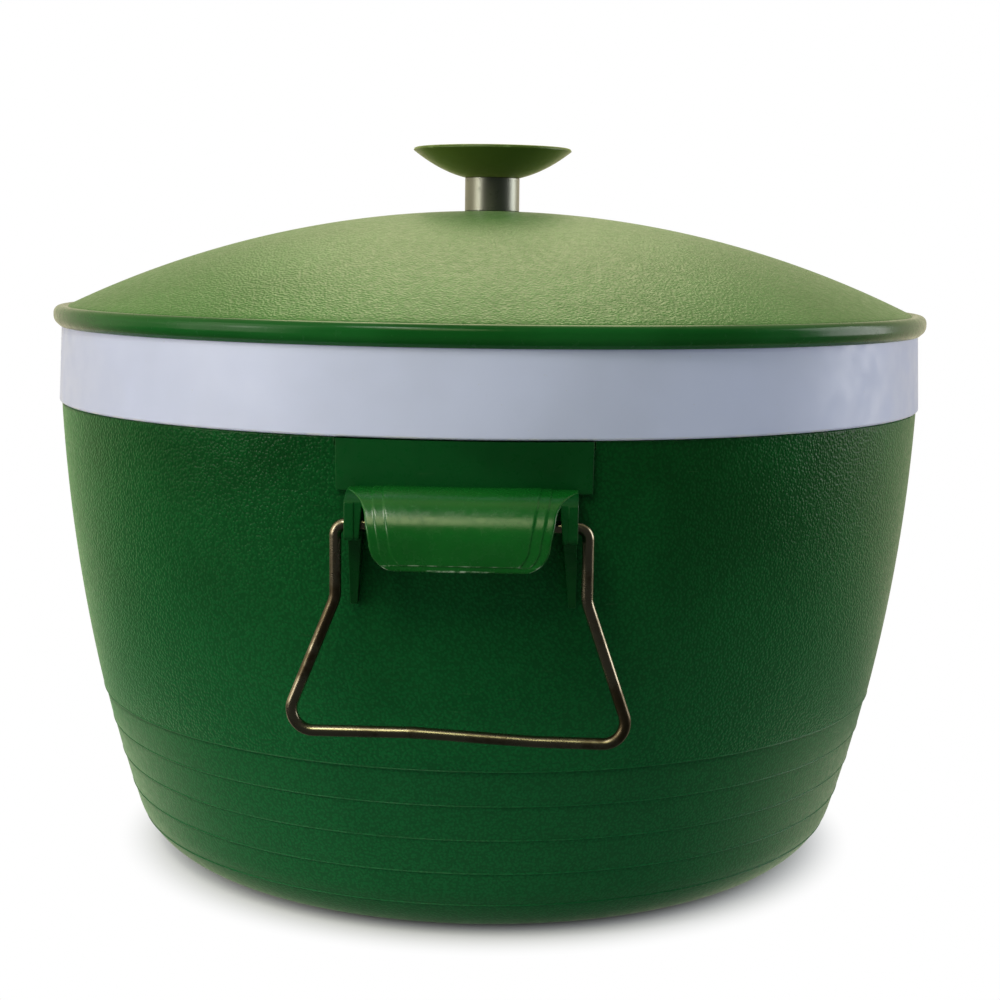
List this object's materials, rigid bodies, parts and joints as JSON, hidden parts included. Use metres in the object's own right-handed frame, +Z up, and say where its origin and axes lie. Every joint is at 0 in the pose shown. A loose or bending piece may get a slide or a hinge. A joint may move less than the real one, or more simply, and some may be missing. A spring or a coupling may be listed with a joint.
{
  "type": "insulated ice bucket",
  "caption": "Round insulated bucket for ice: barrel body with white collar and liner, domed lift-off lid with a saucer knob, and hooded hand grips whose wire bails hook over the lid.",
  "frame": {"origin": "on the table under the centre of the bucket", "axes": "+Z up along the bucket's axis, the front hand grip towards -Y and the rear one towards +Y"},
  "size_m": [0.29, 0.3148, 0.2335],
  "materials": {
    "green_grained": "satin",
    "green_gloss": "gloss",
    "white_plastic": "satin",
    "foam": "matte",
    "chrome": "polished",
    "zinc_steel": "satin",
    "steel_wire": "satin"
  },
  "bodies": {
    "bucket": {"outer_shell": "green_grained", "inner_liner": "white_plastic", "body_insulation": "foam", "bracket_front": "green_gloss", "bracket_rear": "green_gloss", "bracket_rivets_front": "zinc_steel", "bracket_rivets_rear": "zinc_steel"},
    "lid": {"lid_cover": "green_grained", "lid_liner": "white_plastic", "lid_insulation": "foam", "knob_cap": "green_gloss", "knob_stem": "chrome", "knob_screw": "zinc_steel", "knob_washer": "zinc_steel"},
    "front_bail": {"bail_front": "steel_wire"},
    "rear_bail": {"bail_rear": "steel_wire"}
  },
  "joints": [
    {"name": "lid_lift", "type": "slide", "parent": "bucket", "child": "lid", "axis": [0, 0, 1], "range_m": [0, 0.2]},
    {"name": "front_bail_swing", "type": "hinge", "parent": "bucket", "child": "front_bail", "pos_m": [0, -0.1479, 0.1272], "axis": [-1, 0, 0], "range_deg": [-10, 188]},
    {"name": "rear_bail_swing", "type": "hinge", "parent": "bucket", "child": "rear_bail", "pos_m": [0, 0.1479, 0.1272], "axis": [1, 0, 0], "range_deg": [-10, 188]}
  ]
}
